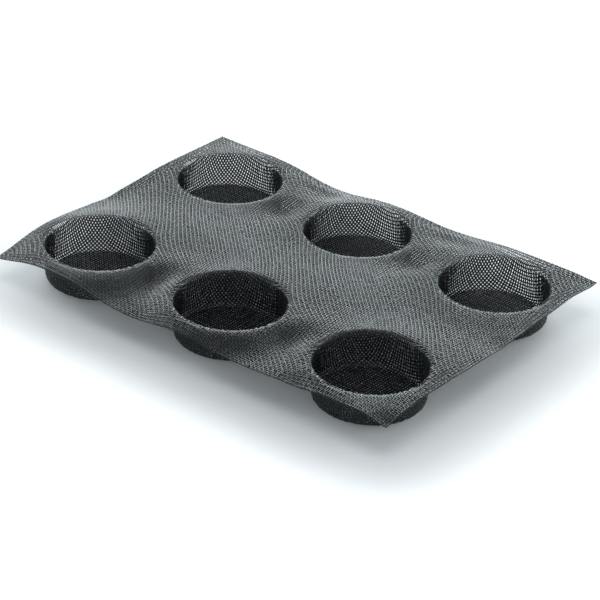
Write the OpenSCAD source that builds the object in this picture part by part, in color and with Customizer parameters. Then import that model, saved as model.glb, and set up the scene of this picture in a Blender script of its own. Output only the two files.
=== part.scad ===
// Baking mould pressed from one sheet of woven glass mesh coated in black silicone.
// Six round cups hang in a thin sheet. The sheet is level at each cup's rim and hangs
// a little lower wherever no cup holds it up, as the soft mould does on a table.
// The origin is on the table, under the middle of the sheet. X runs along the sheet.

/* [Sheet] */
// Length of the sheet
sheet_length = 400; // [385:5:460]
// Width of the sheet
sheet_width = 290; // [275:5:350]
// Thickness of the coated mesh
sheet_thickness = 1; // [0.8:0.1:1.6]

/* [Cups] */
// Number of cups along the sheet
cup_columns = 3; // [1:1:3]
// Number of cups across the sheet
cup_rows = 2; // [1:1:2]
// Distance between neighbouring cups along the sheet
column_pitch = 140; // [116:1:147]
// Distance between neighbouring cups across the sheet
row_pitch = 168; // [120:1:180]
// Width of a cup's mouth, between the walls
mouth_diameter = 91; // [70:1:96]
// Depth of a cup, from the sheet's upper face to the bottom inside
cup_depth = 29; // [16:1:45]
// Lean of a cup's wall, in degrees from upright
wall_lean = 3; // [0:0.5:12]
// Radius of the fold from the sheet into a cup, at the middle of the mesh
fold_radius = 2; // [1.5:0.5:5]
// Radius of the corner between a cup's wall and its bottom, at the middle of the mesh
corner_radius = 4; // [1.5:0.5:7]

/* [Hang of the soft sheet] */
// Extra height of the front cups' rims, from left to right
front_rim_rise = [1, 1, 1]; // [-4:0.5:4]
// Extra height of the back cups' rims, from left to right
back_rim_rise = [-2, -2, 0]; // [-4:0.5:4]
// Sag along the front edge, at seven places from left to right
front_sag = [13, 3, 9, 16, 6, 6, 0]; // [0:1:20]
// Sag along the middle of the sheet, at seven places from left to right
middle_sag = [6, 0, 0, 0, 0, 2, 2]; // [0:1:20]
// Sag along the back edge, at seven places from left to right
back_sag = [1, 4, 10, 7, 5, 0, 0]; // [0:1:20]
// Distance from a cup's rim over which the sheet sinks to its full sag
sag_reach = 22; // [12:1:36]
// Distance over which one sag runs into the next, along the sheet and across it
sag_spread = [32, 50]; // [20:1:80]

/* [Weave] */
// Height by which the crossings stand proud and low in turn
weave_relief = 0.3; // [0:0.05:0.4]
// Side of a gap between threads
gap_size = 3; // [1:0.1:3.4]

/* [Hidden] */

// Half of the mesh's thickness, from its middle to each face
half_thickness = sheet_thickness / 2;
// Crossings along each side of the patch of sheet that belongs to one cup
side_steps = 9;
// Crossings round one cup
round_steps = 4 * side_steps;
// Rings of crossings in the flat of the sheet, between a cup's rim and the edge of its patch
flat_rings = 2;
// Rings of crossings from a cup's bottom to its rim
cup_rings = 7;
ring_count = cup_rings + flat_rings;
// Rings that keep a clean line, at a cup's bottom corner and at its rim
clean_rings = [0, 1, cup_rings - 2, cup_rings - 1];
// Two staggered rows of gaps go round a cup's wall, and one goes round its patch of flat sheet
wall_gap_rings = [2, 3];
wall_gap_count = 6;
flat_gap_ring = ring_count - 1;
flat_gap_steps = [2, 6];
// Most of the room between crossings that a gap takes
gap_share = 0.8;

// Radius at which the sheet has become level, outside a cup's fold
rim_radius = mouth_diameter / 2 + half_thickness + fold_radius;
// Directions square to the wall and along it, in a cup's section
wall_normal = [-cos(wall_lean), sin(wall_lean)];
wall_turn = 90 - wall_lean;

cup_count = cup_columns * cup_rows;
lattice_columns = cup_columns * side_steps + 1;
lattice_rows = cup_rows * side_steps + 1;
lattice_size = lattice_columns * lattice_rows;

// Places of the cups and the lines that part their patches
function column_of(cup) = cup % cup_columns;
function row_of(cup) = floor(cup / cup_columns);
function cup_centre(cup) = [
    (column_of(cup) - (cup_columns - 1) / 2) * column_pitch,
    (row_of(cup) - (cup_rows - 1) / 2) * row_pitch
];
function parting(i, count, pitch, full) =
    i == 0 ? -full / 2 : i == count ? full / 2 : (i - count / 2) * pitch;
function between(low, high, share) = low + (high - low) * share;
function on_line(step, count, pitch, full) =
    let (i = min(floor(step / side_steps), count - 1))
    between(parting(i, count, pitch, full), parting(i + 1, count, pitch, full),
        (step - i * side_steps) / side_steps);
function lattice_place(a, b) = [
    on_line(a, cup_columns, column_pitch, sheet_length),
    on_line(b, cup_rows, row_pitch, sheet_width)
];

// Height of the sheet: level at the rims, hanging lower away from them
function rim_rise(cup) = row_of(cup) == 0 ? front_rim_rise[column_of(cup)] : back_rim_rise[column_of(cup)];
function from_rim(place, cup) = max(norm(place - cup_centre(cup)) - rim_radius, 0.01);
function weighted(weights, values) = weights * values / (weights * [for (w = weights) 1]);
function rim_level(place) = weighted(
    [for (cup = [0:cup_count - 1]) 1 / pow(from_rim(place, cup), 2)],
    [for (cup = [0:cup_count - 1]) rim_rise(cup)]);
function freedom(place, cup = 0) =
    cup == cup_count ? 1 :
    (1 - exp(-pow(from_rim(place, cup) / sag_reach, 2))) * freedom(place, cup + 1);
sag_places = [
    for (y = [-1, 0, 1])
        for (x = [-3:3])
            [x * sheet_length / 6, y * sheet_width / 2]
];
sag_depths = concat(front_sag, middle_sag, back_sag);
function full_sag(place) = weighted(
    [
        for (spot = sag_places)
            let (apart = place - spot)
            exp(-(pow(apart[0] / sag_spread[0], 2) + pow(apart[1] / sag_spread[1], 2)) / 2)
    ],
    sag_depths);
flat_level = cup_depth + sheet_thickness - half_thickness;
function sheet_level(place) = flat_level + rim_level(place) - freedom(place) * full_sag(place);

// Section of a cup, from its bottom to its rim, along the middle of the mesh. Each entry
// gives the distance from the cup's axis, the height and the direction to the inner face.
function section(rise) =
    let (
        fold_centre = [rim_radius, flat_level + rise - fold_radius],
        corner_height = half_thickness + corner_radius,
        corner_inset = (corner_radius + fold_radius
            + (fold_centre[1] - corner_height) * sin(wall_lean)) / cos(wall_lean),
        corner_centre = [rim_radius - corner_inset, corner_height],
        wall_foot = corner_centre - corner_radius * wall_normal,
        wall_head = fold_centre + fold_radius * wall_normal
    )
    [
        for (turn = [0, wall_turn / 2])
            [corner_centre + corner_radius * [sin(turn), -cos(turn)], [-sin(turn), cos(turn)]],
        [wall_foot, wall_normal],
        [(wall_foot + wall_head) / 2, wall_normal],
        [wall_head, wall_normal],
        for (turn = [wall_turn / 2, 0])
            [fold_centre + fold_radius * [-sin(turn), cos(turn)], [-sin(turn), cos(turn)]]
    ];

// The crossings of the weave. Face is 1 for the upper face and -1 for the lower.
function weave(step) = weave_relief * (step % 2 == 0 ? 1 : -1);
// Step that a cup's crossings count from, so that the weave runs on from patch to patch
function first_step(cup) = side_steps * (column_of(cup) + row_of(cup));
function edge_step(cup, k) =
    let (
        side = floor(k / side_steps) % 4,
        along = k % side_steps,
        a = side_steps * column_of(cup),
        b = side_steps * row_of(cup)
    )
    side == 0 ? [a + along, b] :
    side == 1 ? [a + side_steps, b + along] :
    side == 2 ? [a + side_steps - along, b + side_steps] :
    [a, b + side_steps - along];
function around(k) = let (angle = 225 + 360 * k / round_steps) [cos(angle), sin(angle)];
function cup_crossing(cup, ring, k, face, profile) =
    let (
        relief = search(ring, clean_rings) == [] ? weave(ring + k + first_step(cup)) : 0,
        lift = face * half_thickness + relief,
        at = profile[ring][0] + lift * profile[ring][1],
        place = cup_centre(cup) + at[0] * around(k)
    )
    [place[0], place[1], at[1]];
function sheet_crossing(place, step, face) =
    [place[0], place[1], sheet_level(place) + face * half_thickness + weave(step)];
function flat_crossing(cup, ring, k, face) =
    let (
        rim = cup_centre(cup) + rim_radius * around(k),
        step = edge_step(cup, k),
        place = between(rim, lattice_place(step[0], step[1]), (ring - cup_rings + 1) / (flat_rings + 1))
    )
    sheet_crossing(place, ring + k + first_step(cup), face);
// Any crossing, by its cup, its ring counted from the cup's bottom and its step round the cup
function crossing(cup, ring, k, face, profile) =
    ring < cup_rings ? cup_crossing(cup, ring, k, face, profile) :
    ring < ring_count ? flat_crossing(cup, ring, k, face) :
    let (step = edge_step(cup, k % round_steps))
    sheet_crossing(lattice_place(step[0], step[1]), ring + k + first_step(cup), face);

lattice_points = [
    for (face = [1, -1])
        for (b = [0:lattice_rows - 1])
            for (a = [0:lattice_columns - 1])
                sheet_crossing(lattice_place(a, b), ring_count + a + b, face)
];
ring_points = [
    for (cup = [0:cup_count - 1])
        let (profile = section(rim_rise(cup)))
            for (face = [1, -1])
                for (ring = [0:ring_count - 1])
                    for (k = [0:round_steps - 1])
                        crossing(cup, ring, k, face, profile)
];
middle_points = [
    for (cup = [0:cup_count - 1])
        for (z = [sheet_thickness, 0])
            concat(cup_centre(cup), z)
];

// Gaps of one cup and its patch, each named by the ring and the step of its first corner
cup_gaps = [
    for (row = [0, 1])
        for (i = [0:wall_gap_count - 1])
            [wall_gap_rings[row], (i + row / 2) * round_steps / wall_gap_count],
    for (side = [0:3])
        for (step = flat_gap_steps)
            [flat_gap_ring, side * side_steps + step]
];
function gap_number(ring, k) = search([[ring, k]], cup_gaps)[0];
function has_gap(ring, k) = is_num(gap_number(ring, k));
gaps = [for (cup = [0:cup_count - 1]) for (gap = cup_gaps) concat(cup, gap)];
function gap_corners(gap, face) =
    let (
        profile = section(rim_rise(gap[0])),
        low = [for (k = [0, 1]) crossing(gap[0], gap[1], gap[2] + k, face, profile)],
        high = [for (k = [0, 1]) crossing(gap[0], gap[1] + 1, gap[2] + k, face, profile)],
        across = min(gap_size / norm(low[1] - low[0]), gap_share) / 2,
        along = min(gap_size / norm(high[0] - low[0]), gap_share) / 2
    )
    [
        for (corner = [[-1, -1], [1, -1], [1, 1], [-1, 1]])
            let (up = 0.5 + corner[0] * along, round = 0.5 + corner[1] * across)
            between(between(low[0], high[0], up), between(low[1], high[1], up), round)
    ];
gap_points = [for (gap = gaps) for (face = [1, -1]) each gap_corners(gap, face)];

// Numbers of the points. Side is 0 for the upper face and 1 for the lower.
ring_start = 2 * lattice_size;
middle_start = ring_start + len(ring_points);
gap_start = middle_start + len(middle_points);
function lattice_index(step, side) = side * lattice_size + step[1] * lattice_columns + step[0];
function crossing_index(cup, ring, k, side) =
    ring == ring_count
        ? lattice_index(edge_step(cup, k % round_steps), side)
        : ring_start + ((cup * 2 + side) * ring_count + ring) * round_steps + k % round_steps;
function middle_index(cup, side) = middle_start + cup * 2 + side;
function gap_index(cup, ring, k, corner, side) =
    gap_start + ((cup * len(cup_gaps) + gap_number(ring, k)) * 2 + side) * 4 + corner;

// Faces, each loop given anticlockwise as seen from above and turned over for the upper face
function turned(loop, side) = side == 1 ? loop : [for (i = [len(loop) - 1:-1:0]) loop[i]];
function split(loop) = [[loop[0], loop[1], loop[2]], [loop[0], loop[2], loop[3]]];
function patch_loop(cup, ring, k, side) = [
    crossing_index(cup, ring, k, side),
    crossing_index(cup, ring + 1, k, side),
    crossing_index(cup, ring + 1, k + 1, side),
    crossing_index(cup, ring, k + 1, side)
];
function gap_loop(cup, ring, k, side) = [for (corner = [0:3]) gap_index(cup, ring, k, corner, side)];
function frame_faces(outer, inner, side) = [
    for (i = [0:3])
        let (next = (i + 1) % 4)
            each split(turned([outer[i], outer[next], inner[next], inner[i]], side))
];
// A band of faces between the upper and the lower face, along a loop of points
function edge_faces(upper, lower) = [
    for (i = [0:len(upper) - 1])
        let (next = (i + 1) % len(upper))
            each split([upper[i], upper[next], lower[next], lower[i]])
];
face_patches = [
    for (cup = [0:cup_count - 1])
        for (side = [0, 1])
            for (ring = [0:ring_count - 1])
                for (k = [0:round_steps - 1])
                    let (outer = patch_loop(cup, ring, k, side))
                        each has_gap(ring, k)
                            ? frame_faces(outer, gap_loop(cup, ring, k, side), side)
                            : split(turned(outer, side))
];
bottom_faces = [
    for (cup = [0:cup_count - 1])
        for (side = [0, 1])
            for (k = [0:round_steps - 1])
                turned([
                    middle_index(cup, side),
                    crossing_index(cup, 0, k, side),
                    crossing_index(cup, 0, k + 1, side)
                ], side)
];
gap_faces = [
    for (gap = gaps)
        let (
            upper = gap_loop(gap[0], gap[1], gap[2], 0),
            lower = gap_loop(gap[0], gap[1], gap[2], 1)
        )
            each edge_faces(turned(upper, 0), turned(lower, 0))
];
border = concat(
    [for (a = [0:lattice_columns - 2]) [a, 0]],
    [for (b = [0:lattice_rows - 2]) [lattice_columns - 1, b]],
    [for (a = [lattice_columns - 1:-1:1]) [a, lattice_rows - 1]],
    [for (b = [lattice_rows - 1:-1:1]) [0, b]]
);
border_faces = edge_faces(
    [for (step = border) lattice_index(step, 0)],
    [for (step = border) lattice_index(step, 1)]);

module mould() {
    color("#23282a")
        polyhedron(
            points = concat(lattice_points, ring_points, middle_points, gap_points),
            faces = concat(face_patches, bottom_faces, gap_faces, border_faces),
            convexity = 10
        );
}

mould();
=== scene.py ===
"""Baking mould of woven glass mesh coated in black silicone, on a pale table under soft studio light."""

import bpy
import numpy as np
from mathutils import Matrix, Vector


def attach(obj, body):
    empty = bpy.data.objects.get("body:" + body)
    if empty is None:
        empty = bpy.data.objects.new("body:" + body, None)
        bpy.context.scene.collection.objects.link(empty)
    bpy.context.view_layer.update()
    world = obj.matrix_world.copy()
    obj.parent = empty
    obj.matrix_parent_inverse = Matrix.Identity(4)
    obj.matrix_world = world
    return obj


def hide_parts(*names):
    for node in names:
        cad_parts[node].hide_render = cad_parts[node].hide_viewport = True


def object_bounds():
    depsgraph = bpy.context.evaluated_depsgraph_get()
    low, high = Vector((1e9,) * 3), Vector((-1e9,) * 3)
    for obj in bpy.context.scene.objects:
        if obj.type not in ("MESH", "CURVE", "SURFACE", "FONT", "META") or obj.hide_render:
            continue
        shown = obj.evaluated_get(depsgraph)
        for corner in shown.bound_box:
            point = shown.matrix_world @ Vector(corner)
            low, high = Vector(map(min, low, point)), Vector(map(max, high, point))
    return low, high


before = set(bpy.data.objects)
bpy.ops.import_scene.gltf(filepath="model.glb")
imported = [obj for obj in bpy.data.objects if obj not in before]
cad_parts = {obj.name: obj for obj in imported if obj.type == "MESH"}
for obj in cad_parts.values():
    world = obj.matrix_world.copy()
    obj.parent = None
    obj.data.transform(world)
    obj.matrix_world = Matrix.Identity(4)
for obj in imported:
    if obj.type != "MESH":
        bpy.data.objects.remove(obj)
cad_low, cad_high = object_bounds()

MM = 0.001

# The pressed sheet
# The real mould is one soft sheet of woven glass mesh, coated in silicone and pressed hot into six
# round cups. It stands on the cups' bottoms and sags wherever no cup holds it up.
sheet_length = cad_high.x - cad_low.x
sheet_width = cad_high.y - cad_low.y
sheet_thickness = 1.0 * MM
column_pitch = 140 * MM
row_pitch = 168 * MM
mouth_radius = 91 * MM / 2
cup_depth = 29 * MM
wall_lean = np.radians(3)
fold_radius = 2 * MM
corner_radius = 4 * MM
# How high each rim stands, and how far the sheet sags at seven places along its front, its
# middle and its back. Both run from left to right, front first.
rim_rises = np.array([1, 1, 1, -2, -2, 0]) * MM
front_sags = [13, 3, 9, 16, 6, 6, 0]
middle_sags = [6, 0, 0, 0, 0, 2, 2]
back_sags = [1, 4, 10, 7, 5, 0, 0]
sags = np.array(front_sags + middle_sags + back_sags) * MM
sag_reach = 22 * MM
sag_spread = np.array([32, 50]) * MM

half_thickness = sheet_thickness / 2
rim_radius = mouth_radius + half_thickness + fold_radius
flat_level = cup_depth + half_thickness
cup_centres = np.array([(x * column_pitch, y * row_pitch) for y in (-0.5, 0.5) for x in (-1, 0, 1)])
sag_places = np.array(
    [(x * sheet_length / 6, y * sheet_width / 2) for y in (-1, 0, 1) for x in range(-3, 4)]
)

# Small folds that the solid leaves out. Between two cups of a row the sheet tips towards the
# front, and its cut edges curl. Each curl has a place, a height and a reach along and across.
web_centres = np.array([(x * column_pitch, y * row_pitch) for y in (-0.5, 0.5) for x in (-0.5, 0.5)])
web_reach = np.array([15, 24]) * MM
web_tips = np.array([0.28, 0.27, 0.25, 0.34])
web_drop = 0.7 * MM
curls = MM * np.array(
    [
        (200, -145, -3.5, 15, 13),
        (200, -98, 0.9, 15, 13),
        (176, -145, 1.2, 15, 13),
        (115, -145, -1.8, 15, 13),
        (200, 5, -1.0, 15, 13),
        (200, 105, 1.0, 15, 13),
        (200, 138, -1.8, 15, 13),
        (-200, -10, -1.6, 15, 13),
        (-70, 132, 2.2, 26, 7),
        (70, 132, 2.2, 24, 7),
        (-200, 40, 2.0, 7, 40),
    ]
)
fold_reach = 5 * MM
nearest = 0.01 * MM
bend_steps = 12


def distances(places, centres):
    """Distance from each place to each centre, in plan."""
    return np.linalg.norm(places[:, None, :] - centres[None, :, :], axis=2)


def sheet_level(places):
    """Height of the middle of the sheet at each place of the flat part."""
    from_rims = np.maximum(distances(places, cup_centres) - rim_radius, nearest)
    nearness = 1 / from_rims**2
    level = nearness @ rim_rises / nearness.sum(axis=1)
    freedom = np.prod(1 - np.exp(-((from_rims / sag_reach) ** 2)), axis=1)
    weights = np.exp(-(distances(places / sag_spread, sag_places / sag_spread) ** 2) / 2)
    from_webs = places[:, None, :] - web_centres
    from_curls = (places[:, None, :] - curls[:, :2]) / curls[:, 3:]
    tips = (web_tips * from_webs[:, :, 1] - web_drop) * np.exp(-((from_webs / web_reach) ** 2).sum(axis=2))
    folds = tips.sum(axis=1) + np.exp(-(from_curls**2).sum(axis=2)) @ curls[:, 2]
    folds *= np.prod(1 - np.exp(-((from_rims / fold_reach) ** 2)), axis=1)
    return flat_level + level + folds - freedom * (weights @ sags / weights.sum(axis=1))


def cup_section(rise):
    """Distance from the axis and height along a cup's section, with the length run so far."""
    fold_centre = np.array([rim_radius, flat_level + rise - fold_radius])
    corner_height = half_thickness + corner_radius
    wall_rise = fold_centre[1] - corner_height
    inset = (corner_radius + fold_radius + wall_rise * np.sin(wall_lean)) / np.cos(wall_lean)
    corner_centre = np.array([rim_radius - inset, corner_height])
    turns = np.linspace(0, np.pi / 2 - wall_lean, bend_steps)[:, None]
    corner = corner_centre + corner_radius * np.hstack([np.sin(turns), -np.cos(turns)])
    fold = fold_centre + fold_radius * np.hstack([-np.sin(turns), np.cos(turns)])
    path = np.vstack([[0, half_thickness], corner, fold[::-1]])
    run = np.concatenate([[0], np.cumsum(np.linalg.norm(np.diff(path, axis=0), axis=1))])
    return path, run, run[1]


# The draw of the weave
# The press pulls a circle of flat weave, a little larger than the mouth, down into each cup. The
# threads spread furthest apart just under the rim, and hardly at all on the cup's bottom.
drawn_in = 7 * MM
draw_reach = 40 * MM
edge_reach = 6 * MM
rim_stretch = 1.85
foot_stretch = 1.12
wall_steps = 24
drawn_radius = rim_radius + drawn_in


def pressed(weave):
    """Where each place of the flat weave lies once the sheet is pressed."""
    out = np.empty((len(weave), 3))
    gaps = distances(weave, cup_centres)
    # Outside the cups the weave is pulled towards each rim, and stays put at the cut edges.
    past_rim = np.clip(1 - (gaps - drawn_radius) / draw_reach, 0, 1)
    from_edge = np.minimum(sheet_length / 2 - abs(weave[:, 0]), sheet_width / 2 - abs(weave[:, 1]))
    held = np.clip(from_edge / edge_reach, 0, 1)
    pull = drawn_in * past_rim**2 * held[:, None] / np.maximum(gaps, MM)
    plan = weave - (pull[:, :, None] * (weave[:, None, :] - cup_centres[None, :, :])).sum(axis=1)
    out[:, :2] = plan
    out[:, 2] = sheet_level(plan)
    # Inside a drawn circle it follows the cup's section, spread most just under the rim.
    for cup, centre in enumerate(cup_centres):
        inside = gaps[:, cup] < drawn_radius
        path, run, floor_run = cup_section(rim_rises[cup])
        down = np.linspace(run[-1] - floor_run, 0, wall_steps)
        easing = (rim_stretch - foot_stretch) / down[0]
        taken = np.log(rim_stretch / (rim_stretch - easing * down)) / easing
        along = np.interp(gaps[inside, cup], [0, *(drawn_radius - taken)], [0, *(run[-1] - down)])
        radius = np.interp(along, run, path[:, 0])
        outward = (weave[inside] - centre) / np.maximum(gaps[inside, cup], 1e-9)[:, None]
        out[inside, :2] = centre + outward * radius[:, None]
        out[inside, 2] = np.interp(along, run, path[:, 1])
    return out


# The coated threads
# Glass yarn in a plain weave, each thread over one and under the next, dipped in liquid silicone
# and cured. The coat makes each thread a fat flat cord, with a small hole left at each mesh.
thread_spacing = 2.05 * MM
thread_width = 1.55 * MM
thread_height = 1.0 * MM
weave_swing = 0.2 * MM
weave_unevenness = 0.8
place_unevenness = 0.06 * MM
thinning = 0.25
thread_sides = 6
table_gap = 0.02 * MM
slope_step = 0.2 * MM
chance = np.random.default_rng(4)


def thread_places(full):
    """Places of the threads across the sheet, the outer ones lying along its cut edges."""
    count = round((full - thread_width) / thread_spacing) + 1
    places = np.linspace(-(full - thread_width) / 2, (full - thread_width) / 2, count)
    places[1:-1] += chance.normal(0, place_unevenness, count - 2)
    return places


def thread_mesh(name, stations, lanes, along):
    """One mesh of threads that run along one axis. Lanes are the threads' numbers and places."""
    numbers, places = lanes
    ends = np.concatenate([[stations[0] - thread_width / 2], stations, [stations[-1] + thread_width / 2]])
    across, run = np.meshgrid(places, ends, indexing="ij")
    weave = np.stack([run, across] if along == 0 else [across, run], axis=-1).reshape(-1, 2)
    step = slope_step * np.eye(2)
    centre = pressed(weave)
    slopes = [pressed(weave + step[axis]) - pressed(weave - step[axis]) for axis in (0, 1)]
    normal = np.cross(slopes[0], slopes[1])
    stretch = np.linalg.norm(normal, axis=1) / (2 * slope_step) ** 2
    # A thread thins a little where the press stretches the weave.
    half_width = thread_width / 2 / stretch**thinning
    normal /= np.linalg.norm(normal, axis=1)[:, None]
    side = np.cross(normal, slopes[along])
    side /= np.linalg.norm(side, axis=1)[:, None]
    # It swings up over one crossing thread and down under the next, not quite evenly.
    crossing = np.arange(len(ends))[None, :] + numbers[:, None] + along
    swing = np.where(crossing % 2 == 0, weave_swing, -weave_swing)
    swing *= np.clip(1 + chance.normal(0, weave_unevenness, swing.shape), 0, 2)
    swing[:, [0, -1]] = 0
    centre += normal * swing.reshape(-1, 1)
    angles = 2 * np.pi * np.arange(thread_sides) / thread_sides
    rings = (
        centre[:, None, :]
        + half_width[:, None, None] * np.cos(angles)[None, :, None] * side[:, None, :]
        + thread_height / 2 * np.sin(angles)[None, :, None] * normal[:, None, :]
    )
    # The lowest threads lie flattened on the table.
    rings[..., 2] = np.maximum(rings[..., 2], table_gap)
    threads, rounds = len(places), len(ends)
    index = np.arange(threads * rounds * thread_sides).reshape(threads, rounds, thread_sides)
    near, far = index[:, :-1], index[:, 1:]
    quads = np.stack([near, np.roll(near, -1, 2), np.roll(far, -1, 2), far], axis=-1).reshape(-1, 4)
    caps = np.concatenate([index[:, 0, ::-1], index[:, -1]])
    mesh = bpy.data.meshes.new(name)
    mesh.vertices.add(rings.shape[0] * thread_sides)
    mesh.vertices.foreach_set("co", rings.ravel())
    mesh.loops.add(quads.size + caps.size)
    mesh.loops.foreach_set("vertex_index", np.concatenate([quads.ravel(), caps.ravel()]))
    starts = np.concatenate([np.arange(len(quads)) * 4, quads.size + np.arange(len(caps)) * thread_sides])
    mesh.polygons.add(len(starts))
    mesh.polygons.foreach_set("loop_start", starts)
    mesh.polygons.foreach_set("use_smooth", np.arange(len(starts)) < len(quads))
    mesh.update(calc_edges=True)
    mesh.validate()
    piece = bpy.data.objects.new(name, mesh)
    bpy.context.scene.collection.objects.link(piece)
    return piece


long_places = thread_places(sheet_width)
cross_places = thread_places(sheet_length)


def to_linear(hex_colour):
    """Linear RGBA of an sRGB colour written as hex."""
    srgb = np.array([int(hex_colour[i : i + 2], 16) for i in (1, 3, 5)]) / 255
    linear = np.where(srgb <= 0.04045, srgb / 12.92, ((srgb + 0.055) / 1.055) ** 2.4)
    return (*linear, 1.0)


def add_node(material, kind, settings=None, links=None):
    """Adds a node. Settings go to its sockets or to the node itself, and links join its inputs."""
    node = material.node_tree.nodes.new(kind)
    for key, value in (settings or {}).items():
        if isinstance(key, int) or key in node.inputs:
            node.inputs[key].default_value = value
        else:
            setattr(node, key, value)
    for key, source in (links or {}).items():
        material.node_tree.links.new(source, node.inputs[key])
    return node


def new_material(name):
    """An empty material that is built up from nodes."""
    material = bpy.data.materials.new(name)
    material.use_nodes = True
    material.node_tree.nodes.clear()
    return material


# Black silicone rubber, dipped on and heat cured. It is satin: it mirrors a bright backdrop as a
# broad grey sheen, and stays near black where there is nothing bright to mirror. The cured skin's
# grain, about 0.1 mm, is too fine to show and is drawn at 0.7 mm.
silicone = new_material("black_silicone_coat")
place = add_node(silicone, "ShaderNodeTexCoord").outputs["Object"]
patch_scale = 1 / 0.04
patches = add_node(silicone, "ShaderNodeTexNoise", {"Scale": patch_scale, "Detail": 3.0}, {"Vector": place})
tone = add_node(
    silicone,
    "ShaderNodeMix",
    {"data_type": "RGBA", 6: to_linear("#14181a"), 7: to_linear("#1b2022")},
    {"Factor": patches.outputs["Fac"]},
)
grain_scale = 1 / (0.7 * MM)
grain = add_node(silicone, "ShaderNodeTexNoise", {"Scale": grain_scale, "Detail": 2.0}, {"Vector": place})
skin = add_node(
    silicone,
    "ShaderNodeBump",
    {"Strength": 0.1, "Distance": 0.1 * MM},
    {"Height": grain.outputs["Fac"]},
)
coat = add_node(
    silicone,
    "ShaderNodeBsdfPrincipled",
    {"Roughness": 0.28, "IOR": 1.42},
    {"Base Color": tone.outputs[2], "Normal": skin.outputs["Normal"]},
)
add_node(silicone, "ShaderNodeOutputMaterial", links={"Surface": coat.outputs["BSDF"]})

half_long = len(long_places) // 2
half_cross = len(cross_places) // 2
pieces = [
    ("long_threads_front", 0, slice(None, half_long)),
    ("long_threads_back", 0, slice(half_long, None)),
    ("cross_threads_left", 1, slice(None, half_cross)),
    ("cross_threads_right", 1, slice(half_cross, None)),
]
for name, along, part in pieces:
    lanes = long_places if along == 0 else cross_places
    stations = cross_places if along == 0 else long_places
    piece = thread_mesh(name, stations, (np.arange(len(lanes))[part], lanes[part]), along)
    piece.data.materials.append(silicone)
    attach(piece, "root")
    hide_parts("mould")

# The table
# A wide studio table under one sheet of white paper. The mould stands loose on it, on the
# bottoms of its six cups.
floor_size = 8.0
bpy.ops.mesh.primitive_plane_add(size=floor_size)
table = bpy.context.object
table.name = "table"

# Uncoated white paper, matt, with painted light on it. Seen by the camera, it glows more and more from the
# sheet's outline outwards, so it turns nearer to white and the mould's soft shadow is painted paler away
# from the sheet. Next to the sheet it keeps its soft shadow.
paper = new_material("white_paper")
matt = add_node(paper, "ShaderNodeBsdfPrincipled", {"Base Color": to_linear("#f7f8fa"), "Roughness": 0.9})
seen = add_node(paper, "ShaderNodeLightPath").outputs["Is Camera Ray"]
spot = add_node(paper, "ShaderNodeTexCoord").outputs["Object"]
half_sheet = (sheet_length / 2, sheet_width / 2, 0)
each_way = add_node(paper, "ShaderNodeVectorMath", {"operation": "ABSOLUTE"}, {0: spot}).outputs[0]
beyond = add_node(
    paper, "ShaderNodeVectorMath", {"operation": "SUBTRACT", 1: half_sheet}, {0: each_way}
).outputs[0]
outside = add_node(
    paper, "ShaderNodeVectorMath", {"operation": "MAXIMUM", 1: (0, 0, 0)}, {0: beyond}
).outputs[0]
from_sheet = add_node(paper, "ShaderNodeVectorMath", {"operation": "LENGTH"}, {0: outside})
# Painted light: the paper's glow grows from nothing at the sheet's outline to full strength 10 cm out,
# painting the shadow paler there.
painted_glow_ramp = add_node(
    paper,
    "ShaderNodeMapRange",
    {"interpolation_type": "SMOOTHSTEP", "From Min": 0.0, "From Max": 0.1, "To Max": 0.42},
    {"Value": from_sheet.outputs["Value"]},
)
painted_glow_strength = add_node(paper, "ShaderNodeMath", {"operation": "MULTIPLY"}, {0: seen, 1: painted_glow_ramp.outputs[0]})
glow = add_node(paper, "ShaderNodeEmission", links={"Strength": painted_glow_strength.outputs[0]})
page = add_node(paper, "ShaderNodeAddShader", links={0: matt.outputs["BSDF"], 1: glow.outputs[0]})
add_node(paper, "ShaderNodeOutputMaterial", links={"Surface": page.outputs[0]})
table.data.materials.append(paper)

# The light
# A pale backdrop stands lit behind the table, and a large soft lamp hangs overhead. The backdrop
# gives the coat its grey sheen, and the cups' own walls hide it from the cups' bottoms.
world = bpy.data.worlds.new("studio")
bpy.context.scene.world = world
world.use_nodes = True
direction = add_node(world, "ShaderNodeTexCoord").outputs["Generated"]
height = add_node(world, "ShaderNodeSeparateXYZ", links={"Vector": direction}).outputs["Z"]
towards_back = (-0.6, 0.8, 0.0)
facing = add_node(
    world, "ShaderNodeVectorMath", {"operation": "DOT_PRODUCT", 1: towards_back}, {0: direction}
)
behind = add_node(
    world,
    "ShaderNodeMapRange",
    {"interpolation_type": "SMOOTHSTEP", "From Min": -0.1, "From Max": 0.6, "To Min": 0.1},
    {"Value": facing.outputs["Value"]},
)
below_top = add_node(
    world,
    "ShaderNodeMapRange",
    {"interpolation_type": "SMOOTHSTEP", "From Min": 0.68, "From Max": 0.16},
    {"Value": height},
)
above_foot = add_node(
    world,
    "ShaderNodeMapRange",
    {"interpolation_type": "SMOOTHSTEP", "From Min": 0.03, "From Max": 0.15},
    {"Value": height},
)
band = add_node(
    world, "ShaderNodeMath", {"operation": "MULTIPLY"}, {0: above_foot.outputs[0], 1: below_top.outputs[0]}
)
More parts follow.
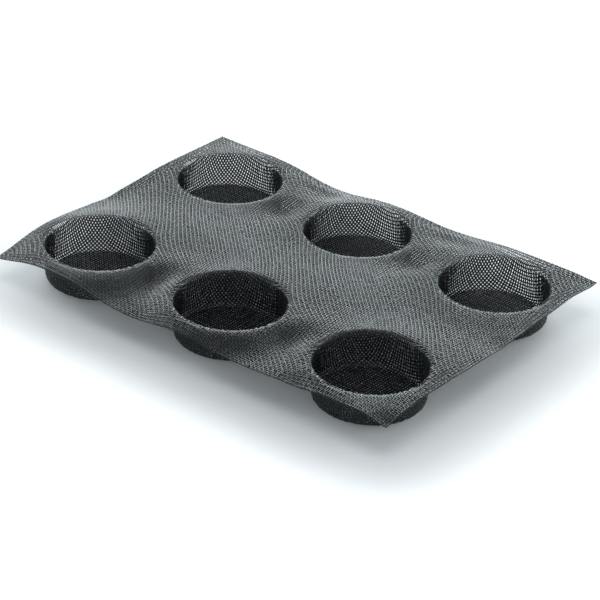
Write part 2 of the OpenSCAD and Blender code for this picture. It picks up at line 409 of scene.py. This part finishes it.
backdrop = add_node(
    world, "ShaderNodeMath", {"operation": "MULTIPLY"}, {0: behind.outputs[0], 1: band.outputs[0]}
)
brightness = add_node(
    world, "ShaderNodeMapRange", {"To Min": 0.1, "To Max": 9.0}, {"Value": backdrop.outputs[0]}
)
looked_at = add_node(world, "ShaderNodeLightPath").outputs["Is Camera Ray"]
strength = add_node(
    world,
    "ShaderNodeMix",
    {"data_type": "FLOAT", "B": 1.0},
    {"Factor": looked_at, "A": brightness.outputs[0]},
)
sky = world.node_tree.nodes["Background"]
sky.inputs["Color"].default_value = to_linear("#f2fbfd")
world.node_tree.links.new(strength.outputs[0], sky.inputs["Strength"])

lamp_data = bpy.data.lights.new("overhead_softbox", "SUN")
lamp_data.angle = np.radians(40)
lamp_data.energy = 0.6
lamp = bpy.data.objects.new("overhead_softbox", lamp_data)
bpy.context.scene.collection.objects.link(lamp)

# The camera
# Its angle, distance and lens are those that fit the photograph's edges and rims, in a square
# frame of 600 pixels.
azimuth = np.radians(36.9)
elevation = np.radians(29.86)
roll = np.radians(2.84)
distance = 1.992
lens_pixels = 2428.8
frame_pixels = 600
aim_right = 3.3 * MM
aim_up = -30.1 * MM
aim_level = 30 * MM

back = np.array(
    [np.sin(azimuth) * np.cos(elevation), -np.cos(azimuth) * np.cos(elevation), np.sin(elevation)]
)
right = np.array([np.cos(azimuth), np.sin(azimuth), 0])
up = np.cross(back, right)
turned_right = np.cos(roll) * right + np.sin(roll) * up
turned_up = np.cos(roll) * up - np.sin(roll) * right
eye = turned_right * aim_right + turned_up * aim_up + back * distance + np.array([0, 0, aim_level])
camera_data = bpy.data.cameras.new("camera")
camera_data.sensor_width = 36
camera_data.lens = lens_pixels * camera_data.sensor_width / frame_pixels
camera = bpy.data.objects.new("camera", camera_data)
turn = Matrix(np.stack([turned_right, turned_up, back], axis=1).tolist()).to_4x4()
camera.matrix_world = Matrix.Translation(eye.tolist()) @ turn
bpy.context.scene.collection.objects.link(camera)
bpy.context.scene.camera = camera

# The colours as written
bpy.context.scene.view_settings.view_transform = "Standard"
